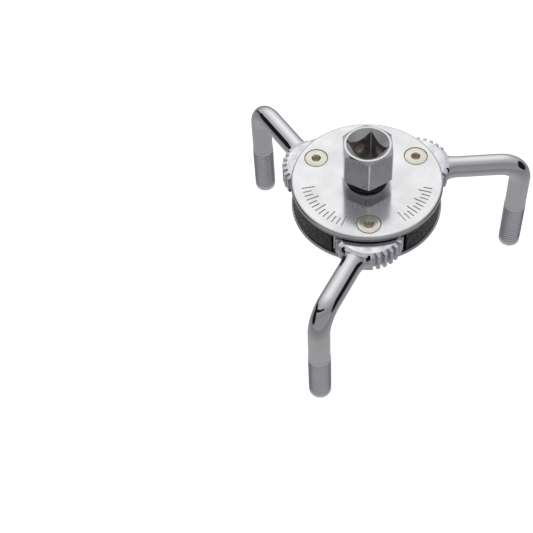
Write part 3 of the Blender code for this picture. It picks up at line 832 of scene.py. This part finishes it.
def make_rings():
    """Seal, bushes, sleeves and clip round the shafts."""
    profile = rounded([(6.3, 53.0), (7.1, 53.0), (7.1, 52.1), (6.3, 52.1)], 0.16, 5)
    seal = lathe("dust_seal_fine", profile, 128)
    dress(seal, "black_rubber")
    shade(seal, 50)
    stand_in(seal, "dust_seal", "drive")

    # The upper bush's near-black bronze is painted shade
    bushes = (("upper_bush", "bronze_painted_shade", 7.0, 6.3, 49.5, 51.7),
              ("lower_bush", "bronze", 5.3, 4.3, 38.4, 39.8))
    for node, finish, outer, inner, low, high in bushes:
        profile = rounded([(inner, high), (outer, high), (outer, low), (inner, low)], 0.15, 4)
        bush = lathe(node + "_fine", profile, 128)
        dress(bush, finish)
        shade(bush, 40)
        stand_in(bush, node, "casing")

    profile = rounded([(2.3, INNER_HIGH), (3.2, INNER_HIGH), (3.2, INNER_LOW),
                       (2.3, INNER_LOW)], 0.12)
    sleeve = lathe("pivot_sleeve", profile, 64)
    dress(sleeve, "bronze")
    shade(sleeve, 40)
    place_copies(sleeve, "pivot_sleeve", PIVOTS, PIVOT_R, [0, 0, 0], "casing")

    profile = rounded([(3.5, 41.1), (7.5, 41.1), (7.5, INNER_LOW), (3.5, INNER_LOW)], 0.12)
    washer = lathe("hub_washer", profile, 96)
    dress(washer, "grey_steel")
    shade(washer, 40)
    place_copies(washer, "hub_washer", PIVOTS, PIVOT_R, [0, 0, 0], "casing")

    outline = arc((0, 0), 5.6, 25, 335, 72) + arc((0, 0), 3.6, 335, 25, 56)
    clip = slab("retaining_clip_fine", outline, 37.4, UNDERSIDE)
    soften(clip, 0.1)
    dress(clip, "spring_steel")
    shade(clip, 35, weighted=True)
    stand_in(clip, "retaining_clip", "drive")


# ---------------------------------------------------------------- studio

def dot_with(tree, direction, axis):
    node = tree.nodes.new("ShaderNodeVectorMath")
    node.operation = "DOT_PRODUCT"
    node.inputs[1].default_value = axis
    tree.links.new(direction, node.inputs[0])
    return node.outputs["Value"]


def mix_colour(tree, fac, first, second):
    """Blend from the first colour to the second. Either may be a socket or a plain colour."""
    node = tree.nodes.new("ShaderNodeMixRGB")
    tree.links.new(fac, node.inputs["Fac"])
    for socket, colour in ((node.inputs[1], first), (node.inputs[2], second)):
        if isinstance(colour, tuple):
            socket.default_value = (*colour, 1.0)
        else:
            tree.links.new(colour, socket)
    return node.outputs["Color"]


def grey(value, tint=0.0):
    return (value, value, value * (1 + tint))


def dark_sides(tree, direction):
    """Mask of the two dark gaps level with the tool, one at each side."""
    move = tree.nodes.new("ShaderNodeVectorMath")
    move.operation = "SUBTRACT"
    move.inputs[1].default_value = (0.0, 0.085, 0.15)
    tree.links.new(direction, move.inputs[0])
    squash = tree.nodes.new("ShaderNodeVectorMath")
    squash.operation = "MULTIPLY"
    squash.inputs[1].default_value = (0.0, 2.1, 3.6)
    tree.links.new(move.outputs["Vector"], squash.inputs[0])
    length = tree.nodes.new("ShaderNodeVectorMath")
    length.operation = "LENGTH"
    tree.links.new(squash.outputs["Vector"], length.inputs[0])
    return remap(tree, length.outputs["Value"], 1.0, 0.0, 0.94, 1.10)


def dark_edge(tree, direction, lean):
    """Mask of the thin dark line round the near left edge of the softbox's light."""
    rise = remap(tree, lean, 0.0, 1.0, 0.354, 0.368)
    fall = remap(tree, lean, 1.0, 0.0, 0.496, 0.510)
    side = remap(tree, dot_with(tree, direction, (-1.0, -0.5, 0.0)), 0.0, 1.0, 0.10, 0.30)
    band = tree.nodes.new("ShaderNodeMath")
    band.operation = "MULTIPLY"
    tree.links.new(rise, band.inputs[0])
    tree.links.new(fall, band.inputs[1])
    gated = tree.nodes.new("ShaderNodeMath")
    gated.operation = "MULTIPLY"
    tree.links.new(band.outputs["Value"], gated.inputs[0])
    tree.links.new(side, gated.inputs[1])
    return gated.outputs["Value"]


def make_world():
    """A big soft light behind the tool that fades all round, dark gaps and a grey table."""
    world = bpy.data.worlds.new("studio")
    world.use_nodes = True
    bpy.context.scene.world = world
    tree = world.node_tree
    coord = tree.nodes.new("ShaderNodeTexCoord")
    direction = coord.outputs["Generated"]
    lean = dot_with(tree, direction, SOFTBOX_AXIS)
    across = remap(tree, lean, 0.0, 1.0, -1.0, 1.0)
    above = ramp(tree, across, [(0.0, grey(0.36)), (0.413, grey(0.34)), (0.526, grey(0.29, 0.03)),
                                (0.629, grey(0.34, 0.03)), (0.703, grey(0.42, 0.03)),
                                (0.772, grey(0.50, 0.03)), (0.821, grey(0.53, 0.03)),
                                (0.894, grey(0.64, 0.02)), (0.929, grey(0.80, 0.02)),
                                (0.953, grey(0.88, 0.01)), (0.989, grey(1.02)),
                                (0.996, grey(1.12))])
    height = dot_with(tree, direction, (0.0, 0.0, 1.0))
    below = ramp(tree, remap(tree, height, 0.0, 1.0, -1.0, 0.0),
                 [(0.0, grey(0.44)), (0.2, grey(0.41)), (0.44, grey(0.33, 0.03)),
                  (0.8, grey(0.26, 0.04))])
    sky = mix_colour(tree, remap(tree, height, 0.0, 1.0, -0.14, -0.04), below, above)
    sky = mix_colour(tree, dark_sides(tree, direction), sky, grey(0.012))
    sky = mix_colour(tree, dark_edge(tree, direction, lean), sky, grey(0.012))
    lamp = remap(tree, dot_with(tree, direction, LAMP_AXIS), 0.0, 1.0, 0.9993, 0.9997)
    sky = mix_colour(tree, lamp, sky, grey(13.0))
    background = tree.nodes["Background"]
    tree.links.new(sky, background.inputs["Color"])
    plain = tree.nodes.new("ShaderNodeBackground")
    plain.inputs["Color"].default_value = (1, 1, 1, 1)
    path = tree.nodes.new("ShaderNodeLightPath")
    mix = tree.nodes.new("ShaderNodeMixShader")
    tree.links.new(path.outputs["Is Camera Ray"], mix.inputs["Fac"])
    tree.links.new(background.outputs["Background"], mix.inputs[1])
    tree.links.new(plain.outputs["Background"], mix.inputs[2])
    tree.links.new(mix.outputs["Shader"], tree.nodes["World Output"].inputs["Surface"])


def make_floor():
    bm = bmesh.new()
    bmesh.ops.create_grid(bm, x_segments=1, y_segments=1, size=3.0)
    floor = new_object("floor", bm)
    mat, _, shader = new_material("floor", (0.5, 0.5, 0.5), 0.0, 0.9)
    shader.inputs["Emission Color"].default_value = (1, 1, 1, 1)
    shader.inputs["Emission Strength"].default_value = 0.86
    floor.data.materials.append(mat)
    floor.location.z = -0.0002
    floor.visible_glossy = False


def make_camera():
    camera = bpy.data.objects.new("camera", bpy.data.cameras.new("camera"))
    camera.data.lens = LENS
    camera.data.clip_start = 0.01
    camera.location = CAMERA_AT
    look = (AIM_AT - CAMERA_AT).to_track_quat("-Z", "Y")
    camera.rotation_mode = "QUATERNION"
    camera.rotation_quaternion = look @ Quaternion((0, 0, 1), math.radians(ROLL_DEG))
    bpy.context.scene.collection.objects.link(camera)
    bpy.context.scene.camera = camera


materials = make_materials()
make_top_plate()
make_bottom_plate()
make_spacers()
make_legs()
make_pivot_screws()
make_nuts()
make_spacer_screws()
make_socket()
make_sun_gear()
make_rings()
make_world()
make_floor()
make_camera()
bpy.context.scene.view_settings.view_transform = "Standard"
